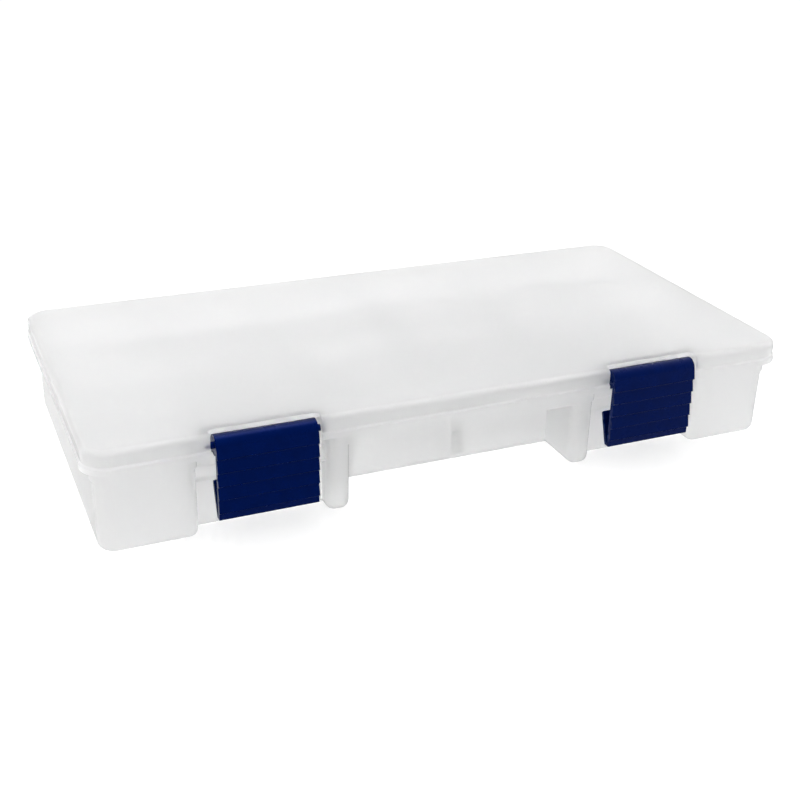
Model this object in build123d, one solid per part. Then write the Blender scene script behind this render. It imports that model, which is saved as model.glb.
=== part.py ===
from build123d import *
import os

# A flat compartment box moulded in translucent polypropylene: a tray with three long bays and loose cross
# dividers, a shallow lid hinged along the back, and two blue ribbed latches that turn on the lid's front edge.
# Millimetres. +X runs to the right along the front, +Y to the back, +Z up. The origin is the centre of the
# lid's outline, on the surface that the box stands on.

# Overall sizes
lid_length = 356.0
lid_width = 174.0
box_height = 52.0

# Lid
lid_corner = 11.0
lid_edge_round = 2.5
lid_top_wall = 1.8
skirt_wall = 2.0
skirt_depth = 11.0
skirt_bead_height = 3.5
skirt_bead_proud = 0.8
lid_over_rim = 0.4

# Base shell
base_inset = 4.0
base_corner = 8.0
base_wall = 1.8
floor_wall = 1.8
band_drop = 6.5
band_proud = 0.8
bottom_round = 4.0
front_corner = 4.6

# Front of the base: a latch recess each side, a narrow pillar beside it and a set-back grip in the middle
grip_half_width = 58.5
grip_setback = 26.0
pillar_width = 11.5
recess_width = 60.0
recess_depth = 8.5

# Walls and divider slots inside
wall_height = 46.5
bay_wall = 1.6
bay_wall_front_y = -21.0
bay_wall_back_y = 34.5
slot_pitch = 19.75
slot_end_margin = 35.0
slot_rib_width = 1.2
slot_rib_proud = 1.4
slot_rib_height = 40.0

# Dividers
divider_thickness = 1.5
divider_height = 42.0
divider_corner = 3.0
divider_play = 0.2
dividers_per_bay = 5
divider_step = 3
first_divider_slot = 1

# Latches
latch_width = 46.5
latch_spacing = 199.0
latch_side_gap = 2.0
latch_cheek = 1.8
latch_notch_corner = 2.5
latch_notch_overhang = 2.8
latch_top_drop = 1.6
latch_bottom_z = 10.5
latch_wall = 1.8
latch_face_proud = 1.8
latch_roll_radius = 4.8
latch_roll_gap = 0.5
latch_lip_length = 3.8
latch_lip_bead = 1.2
latch_end_web = 1.5
latch_pin_radius = 1.6
ridge_count = 5
ridge_pitch = 6.6
ridge_first_z = 14.4
ridge_proud = 1.1
ridge_rise = 5.4
ridge_undercut = 0.8
spring_leg_wall = 1.3
spring_leg_height = 15.0
spring_leg_lean = 5.2
spring_leg_bend = 1.6
catch_gap = 0.4
catch_thickness = 2.2
catch_lead_in = 3.0

# Hinge along the back
hinge_count = 3
hinge_spacing = 120.0
hinge_setback = 3.0
hinge_barrel_radius = 3.0
hinge_barrel_length = 20.0
hinge_pin_radius = 1.6
hinge_lug_width = 4.0
hinge_end_gap = 0.3
hinge_under_skirt = 0.5
hinge_gusset = 7.0
turning_clearance = 0.08

# Worked-out places
front_y = -lid_width / 2
back_y = lid_width / 2
skirt_bottom_z = box_height - skirt_depth
rim_z = box_height - lid_top_wall - lid_over_rim
band_z = skirt_bottom_z - band_drop
body_length = lid_length - 2 * base_inset
body_width = lid_width - 2 * base_inset
body_front_y = -body_width / 2
body_back_y = body_width / 2
recess_x = grip_half_width + pillar_width + recess_width / 2
recess_y = body_front_y + recess_depth
front_wall_y = body_front_y + grip_setback
front_wall_inner_y = front_wall_y + base_wall
back_wall_inner_y = body_back_y - base_wall
latch_x = latch_spacing / 2
pivot_y = front_y - latch_face_proud + latch_roll_radius
pivot_z = box_height - latch_top_drop - latch_roll_radius
latch_face_y = front_y - latch_face_proud
notch_back_y = pivot_y + latch_roll_radius + latch_roll_gap
notch_edge_y = notch_back_y - latch_notch_overhang
notch_width = latch_width + 2 * latch_side_gap
hinge_y = back_y + hinge_setback
hinge_z = skirt_bottom_z - hinge_under_skirt - hinge_barrel_radius
slot_count = 2 * round((lid_length / 2 - slot_end_margin) / slot_pitch)
leg_tip_z = latch_bottom_z + spring_leg_bend + spring_leg_height
leg_tip_y = latch_face_y + latch_wall + spring_leg_bend + spring_leg_lean
catch_z = leg_tip_z - spring_leg_wall
catch_front_y = leg_tip_y + catch_gap

bays = {
    "front": (front_wall_inner_y, bay_wall_front_y - bay_wall / 2),
    "middle": (bay_wall_front_y + bay_wall / 2, bay_wall_back_y - bay_wall / 2),
    "back": (bay_wall_back_y + bay_wall / 2, back_wall_inner_y),
}


def column(sketch, low, high):
    """Extrude a flat outline from height low to height high."""
    return Pos(0, 0, low) * extrude(sketch, high - low)


def strip(y_low, y_high):
    """A full-length rectangle between two depths."""
    return Pos(0, (y_low + y_high) / 2) * Rectangle(2 * lid_length, y_high - y_low)


def along_x(profile, width):
    """Sweep a side profile, drawn as (y, z), symmetrically along X."""
    return extrude(Plane.YZ * profile, width / 2, both=True)


def slot_x(index):
    """Centre of one divider slot."""
    return (index - (slot_count - 1) / 2) * slot_pitch


def base_outline(with_grip):
    """Outer outline of the tray, with its two latch recesses and, low down, the set-back grip."""
    outline = RectangleRounded(body_length, body_width, base_corner)
    for side in (-1, 1):
        outline -= Pos(side * recess_x, body_front_y) * Rectangle(recess_width, 2 * recess_depth)
    if with_grip:
        outline -= Pos(0, body_front_y) * Rectangle(2 * grip_half_width, 2 * grip_setback)
    reach = body_length / 2 - base_corner - 0.1
    front_corners = [c for c in outline.vertices() if abs(c.Y - body_front_y) < 0.1 and abs(c.X) < reach]
    return fillet(front_corners, front_corner)


def base_shell():
    """The moulded walls: outer shell, thicker band under the lid, long bays, front wells and shelf."""
    low_outline = base_outline(True)
    high_outline = base_outline(False)
    low = column(low_outline, 0, band_z)
    low = fillet(low.edges().group_by(Axis.Z)[0], bottom_round)
    high = column(offset(high_outline, band_proud), band_z, rim_z)
    shell = low + high

    inner = RectangleRounded(body_length - 2 * base_wall, body_width - 2 * base_wall, base_corner - base_wall)
    for y_low, y_high in bays.values():
        shell -= column(inner & strip(y_low, y_high), floor_wall, rim_z)
    front_strip = strip(front_y, front_wall_y)
    shell -= column(offset(low_outline, -base_wall) & front_strip, floor_wall, rim_z)
    high_inner = offset(high_outline, -base_wall)
    shell -= column(high_inner & front_strip, band_z + floor_wall, rim_z)
    shell -= column(high_inner, floor_wall + wall_height, rim_z)
    return shell


def slot_ribs():
    """Pairs of upright ribs on both sides of every bay, which hold the ends of the dividers."""
    reach = divider_thickness / 2 + divider_play + slot_rib_width / 2
    ribs = []
    for y_low, y_high in bays.values():
        for index in range(slot_count):
            for side in (-1, 1):
                x = slot_x(index) + side * reach
                for y in (y_low + slot_rib_proud / 2, y_high - slot_rib_proud / 2):
                    ribs.append(Pos(x, y) * Rectangle(slot_rib_width, slot_rib_proud))
    return [column(rib, floor_wall, floor_wall + slot_rib_height) for rib in ribs]


def latch_catch():
    """The ledge across a latch recess that the spring leg of the latch snaps under."""
    wall_y = recess_y + base_wall / 2
    profile = Polygon(
        (catch_front_y, catch_z),
        (catch_front_y, catch_z + catch_thickness / 2),
        (catch_front_y + 1, catch_z + catch_thickness),
        (recess_y, catch_z + catch_thickness + catch_lead_in),
        (wall_y, catch_z + catch_thickness + catch_lead_in),
        (wall_y, catch_z),
        align=None,
    )
    return along_x(profile, recess_width + base_wall)


def hinge_lug():
    """One lug behind the tray with the bore for a hinge pin, on a gusset that runs down the back wall."""
    top_z = hinge_z + hinge_barrel_radius
    profile = Polygon(
        (body_back_y - base_wall / 2, top_z),
        (hinge_y, top_z),
        (hinge_y, hinge_z - hinge_barrel_radius),
        (body_back_y, hinge_z - hinge_barrel_radius - hinge_gusset),
        (body_back_y - base_wall / 2, hinge_z - hinge_barrel_radius - hinge_gusset),
        align=None,
    )
    profile += Pos(hinge_y, hinge_z) * Circle(hinge_barrel_radius)
    profile -= Pos(hinge_y, hinge_z) * Circle(hinge_pin_radius + turning_clearance)
    return along_x(profile, hinge_lug_width)


def hinge_places():
    """Middle of each hinge along the back."""
    return [(index - (hinge_count - 1) / 2) * hinge_spacing for index in range(hinge_count)]


def base():
    """The tray as moulded, in one piece."""
    lug_x = (hinge_barrel_length + hinge_lug_width) / 2 + hinge_end_gap
    additions = slot_ribs()
    for side in (-1, 1):
        additions.append(Pos(side * recess_x, 0, 0) * latch_catch())
    for x in hinge_places():
        for side in (-1, 1):
            additions.append(Pos(x + side * lug_x, 0, 0) * hinge_lug())
    return base_shell().fuse(*additions)


def hinge_barrel():
    """The lid's half of one hinge: a barrel with a pin at each end, on a web under the skirt."""
    web = Polygon(
        (back_y - skirt_wall / 2, skirt_bottom_z + skirt_depth / 2),
        (back_y, skirt_bottom_z + skirt_depth / 2),
        (hinge_y + hinge_barrel_radius, hinge_z + hinge_barrel_radius),
        (hinge_y + hinge_barrel_radius, hinge_z),
        (hinge_y - hinge_barrel_radius, hinge_z),
        (hinge_y - hinge_barrel_radius, skirt_bottom_z),
        (back_y - skirt_wall / 2, skirt_bottom_z),
        align=None,
    )
    barrel = along_x(web + Pos(hinge_y, hinge_z) * Circle(hinge_barrel_radius), hinge_barrel_length)
    pin_length = hinge_barrel_length + 2 * (hinge_end_gap + hinge_lug_width)
    return barrel + along_x(Pos(hinge_y, hinge_z) * Circle(hinge_pin_radius), pin_length)


def lid():
    """The lid: flat top, beaded skirt, a walled notch over each latch and the hinge barrels."""
    cap = column(RectangleRounded(lid_length, lid_width, lid_corner), skirt_bottom_z, box_height)
    cap = fillet(cap.edges().group_by(Axis.Z)[-1], lid_edge_round)
    bead = column(
        RectangleRounded(lid_length + 2 * skirt_bead_proud, lid_width + 2 * skirt_bead_proud,
                         lid_corner + skirt_bead_proud),
        skirt_bottom_z,
        skirt_bottom_z + skirt_bead_height,
    )
    bead = chamfer(bead.edges().group_by(Axis.Z)[-1], skirt_bead_proud * 0.9)
    cap += bead
    inner = RectangleRounded(lid_length - 2 * skirt_wall, lid_width - 2 * skirt_wall, lid_corner - skirt_wall)
    cap -= column(inner, skirt_bottom_z, box_height - lid_top_wall)

    for side in (-1, 1):
        notch_wall = Pos(side * latch_x, (front_y + notch_back_y + latch_cheek) / 2 + skirt_wall / 4) * Rectangle(
            notch_width + 2 * latch_cheek, notch_back_y + latch_cheek - front_y - skirt_wall / 2
        )
        cap += column(notch_wall, skirt_bottom_z, box_height - lid_top_wall / 2)
        for reach, top_z in ((notch_back_y, box_height - lid_top_wall), (notch_edge_y, box_height)):
            notch = Pos(side * latch_x, front_y) * Rectangle(notch_width, 2 * (reach - front_y))
            notch = fillet(notch.vertices().sort_by(Axis.Y)[-2:], latch_notch_corner)
            cap -= column(notch, skirt_bottom_z, top_z)
        bore = Cylinder(latch_pin_radius + turning_clearance, notch_width + 2 * latch_cheek, rotation=(0, 90, 0))
        cap -= Pos(side * latch_x, pivot_y, pivot_z) * bore
    return cap.fuse(*[Pos(x, 0, 0) * hinge_barrel() for x in hinge_places()])


def latch_plate():
    """Side profile of the latch's front plate, with its clapboard ridges."""
    inner_y = latch_face_y + latch_wall
    points = [(inner_y, latch_bottom_z), (latch_face_y, latch_bottom_z)]
    for index in range(ridge_count):
        z = ridge_first_z + index * ridge_pitch
        points.append((latch_face_y, z - ridge_undercut))
        points.append((latch_face_y - ridge_proud, z))
        points.append((latch_face_y, z + ridge_rise))
    points += [(latch_face_y, pivot_z), (inner_y, pivot_z)]
    return Polygon(*points, align=None)


def latch_roll():
    """Side profile of the rolled head: a ring open below, with a lip that hangs down behind."""
    pivot = Pos(pivot_y, pivot_z)
    inner_radius = latch_roll_radius - latch_wall
    ring = pivot * (Circle(latch_roll_radius) - Circle(inner_radius))
    ring -= Pos(pivot_y, pivot_z - latch_roll_radius) * Rectangle(2 * latch_roll_radius, 2 * latch_roll_radius)
    lip_y = pivot_y + latch_roll_radius - latch_wall / 2
    ring += Pos(lip_y, pivot_z - latch_lip_length / 2) * Rectangle(latch_wall, latch_lip_length)
    return ring + Pos(lip_y - latch_lip_bead / 3, pivot_z - latch_lip_length) * Circle(latch_lip_bead)


def latch_leg():
    """Side profile of the spring leg: bent back from the plate's lower edge and leaning towards the tray."""
    inner_y = latch_face_y + latch_wall
    root_z = latch_bottom_z + spring_leg_wall
    bend_y = inner_y + spring_leg_bend
    return Polygon(
        (inner_y - latch_wall / 2, latch_bottom_z),
        (bend_y, latch_bottom_z),
        (bend_y + spring_leg_wall / 2, root_z),
        (leg_tip_y, leg_tip_z - spring_leg_wall),
        (leg_tip_y - spring_leg_wall, leg_tip_z),
        (bend_y - spring_leg_wall / 2, root_z + spring_leg_wall / 2),
        (inner_y - latch_wall / 2, root_z),
        align=None,
    )


def latch():
    """One latch, centred on X = 0: plate, roll, spring leg, closed ends and the two pivot pins."""
    body = along_x(latch_plate() + latch_roll() + latch_leg(), latch_width)
    pin = Pos(pivot_y, pivot_z) * Circle(latch_pin_radius)
    end = Pos(pivot_y, pivot_z) * Circle(latch_roll_radius)
    pins = along_x(pin, latch_width + 2 * (latch_side_gap + latch_cheek))
    pins -= along_x(end, latch_width - 2 * latch_end_web)
    for side in (-1, 1):
        body += Pos(side * (latch_width - latch_end_web) / 2, 0, 0) * along_x(end, latch_end_web)
    return body + pins


def divider(y_low, y_high):
    """A cross divider for one bay, centred on X = 0."""
    depth = y_high - y_low - 2 * divider_play
    low = floor_wall + divider_play
    plate = Pos((y_low + y_high) / 2, low + divider_height / 2) * Rectangle(depth, divider_height)
    plate = chamfer(plate.vertices().sort_by(Axis.Y)[-2:], divider_corner)
    return along_x(plate, divider_thickness)


os.makedirs("parts", exist_ok=True)
export_step(base(), "parts/base.step")
export_step(lid(), "parts/lid.step")
export_step(Pos(-latch_x, 0, 0) * latch(), "parts/latch_left.step")
export_step(Pos(latch_x, 0, 0) * latch(), "parts/latch_right.step")
for bay, (bay_low, bay_high) in bays.items():
    for number in range(dividers_per_bay):
        place = Pos(slot_x(first_divider_slot + number * divider_step), 0, 0)
        export_step(place * divider(bay_low, bay_high), f"parts/divider_{bay}_{number + 1}.step")
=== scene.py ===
from math import radians

import bmesh
import bpy
from mathutils import Matrix, Vector

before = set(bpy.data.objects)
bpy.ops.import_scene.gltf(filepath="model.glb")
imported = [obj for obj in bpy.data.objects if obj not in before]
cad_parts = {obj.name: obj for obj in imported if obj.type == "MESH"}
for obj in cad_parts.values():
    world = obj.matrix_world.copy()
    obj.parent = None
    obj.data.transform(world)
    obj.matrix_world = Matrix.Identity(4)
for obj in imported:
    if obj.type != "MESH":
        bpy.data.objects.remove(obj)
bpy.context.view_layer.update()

# Compartment box of frosted polypropylene with two blue latches. Metres, Z up, X along the front.
mm = 0.001
scene = bpy.context.scene
print("frame loaded:", len(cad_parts), "nodes")


# sRGB hex to the linear colour that the shaders take, with the numbers of the sRGB standard
def linearColour(hexValue):
    channels = [int(hexValue[i:i + 2], 16) / 255 for i in (1, 3, 5)]
    return [c / 12.92 if c <= 0.04045 else ((c + 0.055) / 1.055) ** 2.4 for c in channels] + [1.0]


# Adds one node, sets its properties and inputs, and links the inputs that are given as sockets
def addNode(tree, kind, properties=None, inputs=None):
    node = tree.nodes.new(kind)
    for name, value in (properties or {}).items():
        setattr(node, name, value)
    for name, value in (inputs or {}).items():
        if isinstance(value, bpy.types.NodeSocket):
            tree.links.new(value, node.inputs[name])
        else:
            node.inputs[name].default_value = value
    return node


def newMaterial(name):
    material = bpy.data.materials.new(name)
    material.use_nodes = True
    material.node_tree.nodes.clear()
    return material, material.node_tree


# 1 for a ray of any kind that is listed, and 0 for the others
def raysOf(tree, kinds):
    path = addNode(tree, "ShaderNodeLightPath")
    found = path.outputs[kinds[0]]
    for kind in kinds[1:]:
        found = addNode(tree, "ShaderNodeMath", {"operation": "MAXIMUM"},
                        {0: found, 1: path.outputs[kind]}).outputs["Value"]
    return found


# Camera where the photograph was taken from, found from the corners of the lid and the base
cameraSettings = {
    "place": (-236.1 * mm, -538.5 * mm, 287.4 * mm),
    "azimuth": -23.80,
    "elevation": 25.29,
    "roll": 1.48,
    "lens": 54.55,          # for the sensor width below
    "sensorWidth": 36.0,
    "nearLimit": 10 * mm,
}


def makeCamera(s):
    data = bpy.data.cameras.new("camera")
    data.sensor_fit = "HORIZONTAL"
    data.sensor_width = s["sensorWidth"]
    data.lens = s["lens"]
    data.clip_start = s["nearLimit"]
    camera = bpy.data.objects.new("camera", data)
    scene.collection.objects.link(camera)
    turn = (Matrix.Rotation(radians(s["azimuth"]), 4, "Z")
            @ Matrix.Rotation(radians(90 - s["elevation"]), 4, "X")
            @ Matrix.Rotation(radians(s["roll"]), 4, "Z"))
    camera.matrix_world = Matrix.Translation(s["place"]) @ turn
    scene.camera = camera


makeCamera(cameraSettings)
print("camera placed")


# Natural polypropylene, injection moulded in a spark-textured mould: milky and translucent, so what lies
# behind a wall shows only as a soft shape, with a broad dull highlight and slightly cloudy flow of the melt
shellFinish = {
    "colour": "#FFFFFF",
    "patchColour": "#FEFEFE",
    "patchSize": 38 * mm,       # clouds in the melt
    "patchDetail": 2.0,
    "patchRange": (0.3, 0.7),   # where the roughness begins and stops following the clouds
    "roughness": 0.7,
    "roughnessSpread": 0.08,
    "grainSize": 0.9 * mm,      # the real texture is finer, and is drawn coarser so that it shows
    "grainDetail": 1.0,
    "grainDepth": 0.015 * mm,
    "ior": 1.49,
    "shader": {
        "Transmission Weight": 0.992,   # the rest is scattered in the milky wall, and sets how grey it looks
        "Subsurface Weight": 1.0,
        "Subsurface Radius": (1.0, 1.0, 1.0),
        "Subsurface Scale": 2.5 * mm,
    },
}

# Polypropylene with blue masterbatch, moulded in a polished mould: deep and saturated, with a soft low gloss
latchFinish = {
    "colour": "#00144E",
    "patchColour": "#000A34",
    "patchSize": 6 * mm,        # streaks of the pigment
    "patchDetail": 3.0,
    "patchRange": (0.0, 1.0),
    "roughness": 0.28,
    "roughnessSpread": 0.1,
    "grainSize": 0.5 * mm,
    "grainDetail": 1.0,
    "grainDepth": 0.01 * mm,
    "ior": 1.49,
    "shader": {
        "Specular IOR Level": 0.22,
        "Specular Tint": linearColour("#3468FF"),
    },
}


# Moulded plastic: soft patches shift its colour and roughness, and the mould leaves a fine grain
def makePlastic(name, s):
    material, tree = newMaterial(name)
    place = addNode(tree, "ShaderNodeTexCoord").outputs["Object"]
    patch = addNode(tree, "ShaderNodeTexNoise", {}, {
        "Vector": place, "Scale": 1 / s["patchSize"], "Detail": s["patchDetail"]}).outputs["Fac"]
    grain = addNode(tree, "ShaderNodeTexNoise", {}, {
        "Vector": place, "Scale": 1 / s["grainSize"], "Detail": s["grainDetail"]}).outputs["Fac"]
    # Socket names repeat on this node, so they go by number: 0 is the factor, 6 and 7 are the colours
    colour = addNode(tree, "ShaderNodeMix", {"data_type": "RGBA"}, {
        0: patch, 6: linearColour(s["colour"]), 7: linearColour(s["patchColour"])}).outputs[2]
    rough = addNode(tree, "ShaderNodeMapRange", {}, {
        "Value": patch, "From Min": s["patchRange"][0], "From Max": s["patchRange"][1],
        "To Min": s["roughness"] - s["roughnessSpread"] / 2,
        "To Max": s["roughness"] + s["roughnessSpread"] / 2}).outputs["Result"]
    bump = addNode(tree, "ShaderNodeBump", {}, {
        "Height": grain, "Distance": s["grainDepth"], "Strength": 1.0}).outputs["Normal"]
    shader = addNode(tree, "ShaderNodeBsdfPrincipled", {}, {
        "Base Color": colour, "Roughness": rough, "IOR": s["ior"], "Normal": bump, **s["shader"]})
    addNode(tree, "ShaderNodeOutputMaterial", {}, {"Surface": shader.outputs["BSDF"]})
    return material


# The first word of a node's name says what it is made of
shellMaterial = makePlastic("naturalPolypropyleneMoulded", shellFinish)
materialOf = {
    "base": shellMaterial,
    "lid": shellMaterial,
    "divider": makePlastic("naturalPolypropyleneDivider", shellFinish),
    "latch": makePlastic("bluePolypropyleneMoulded", latchFinish),
}
for name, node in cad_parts.items():
    node.data.materials.clear()
    node.data.materials.append(materialOf[name.split("_")[0]])
print("materials made")


# Pale floor. It reads as white to the camera and through the plastic, and keeps the box's shadow.
floorSettings = {
    "halfSize": 6.0,
    "drop": 0.02 * mm,        # below the box's flat underside, so that the two faces don't coincide
    "colour": "#C8C8C8",
    "roughness": 0.9,
    "whiteness": 0.5,         # added for the camera and for reflections
    "throughPlastic": 0.96,   # strength seen through the plastic, where 1 is white
}


def makeFloor(s):
    bm = bmesh.new()
    bmesh.ops.create_grid(bm, x_segments=1, y_segments=1, size=s["halfSize"])
    bmesh.ops.translate(bm, vec=(0, 0, -s["drop"]), verts=bm.verts)
    mesh = bpy.data.meshes.new("floor")
    bm.to_mesh(mesh)
    bm.free()
    floor = bpy.data.objects.new("floor", mesh)
    scene.collection.objects.link(floor)
    material, tree = newMaterial("paperSweep")
    glow = addNode(tree, "ShaderNodeMath", {"operation": "MULTIPLY"}, {
        0: raysOf(tree, ["Is Camera Ray", "Is Glossy Ray"]), 1: s["whiteness"]})
    paper = addNode(tree, "ShaderNodeBsdfPrincipled", {}, {
        "Base Color": linearColour(s["colour"]), "Roughness": s["roughness"], "Specular IOR Level": 0.0,
        "Emission Color": linearColour("#FFFFFF"), "Emission Strength": glow.outputs["Value"]})
    through = addNode(tree, "ShaderNodeEmission", {}, {
        "Color": linearColour("#FFFFFF"), "Strength": s["throughPlastic"]})
    shader = addNode(tree, "ShaderNodeMixShader", {}, {
        0: raysOf(tree, ["Is Transmission Ray"]), 1: paper.outputs["BSDF"], 2: through.outputs["Emission"]})
    addNode(tree, "ShaderNodeOutputMaterial", {}, {"Surface": shader.outputs["Shader"]})
    mesh.materials.append(material)


makeFloor(floorSettings)

# Soft studio light: a wide bank overhead, a little behind and to the right, and a weaker one at the left
lightSettings = {
    "aim": (0, 0, 30 * mm),
    "overhead": {"place": (0.15, 0.25, 1.5), "size": 0.9, "power": 9.0},
    "left": {"place": (-1.5, 0.2, 0.6), "size": 0.8, "power": 5.0},
    "world": 0.85,         # the world's light on the object
    "background": 1.0,     # the world as it is seen, where 1 is white
}


def makeBank(name, s, aim):
    data = bpy.data.lights.new(name, "AREA")
    data.shape = "SQUARE"
    data.size = s["size"]
    data.energy = s["power"]
    bank = bpy.data.objects.new(name, data)
    scene.collection.objects.link(bank)
    bank.location = s["place"]
    bank.rotation_euler = (Vector(aim) - Vector(s["place"])).to_track_quat("-Z", "Y").to_euler()


def makeLights(s):
    makeBank("overheadBank", s["overhead"], s["aim"])
    makeBank("leftBank", s["left"], s["aim"])
    world = bpy.data.worlds.new("studio")
    world.use_nodes = True
    tree = world.node_tree
    tree.nodes.clear()
    strength = addNode(tree, "ShaderNodeMapRange", {}, {
        "Value": raysOf(tree, ["Is Camera Ray", "Is Transmission Ray", "Is Glossy Ray"]),
        "To Min": s["world"], "To Max": s["background"]})
    sky = addNode(tree, "ShaderNodeBackground", {}, {
        "Color": linearColour("#FFFFFF"), "Strength": strength.outputs["Result"]})
    addNode(tree, "ShaderNodeOutputWorld", {}, {"Surface": sky.outputs["Background"]})
    scene.world = world


makeLights(lightSettings)

# Light has to pass many thin walls before it leaves the box
wallBounces = 48
surfaceBounces = 24
scene.cycles.max_bounces = wallBounces
scene.cycles.transmission_bounces = wallBounces
scene.cycles.glossy_bounces = surfaceBounces
scene.cycles.diffuse_bounces = surfaceBounces
scene.view_settings.view_transform = "Standard"
print("floor and lights made")
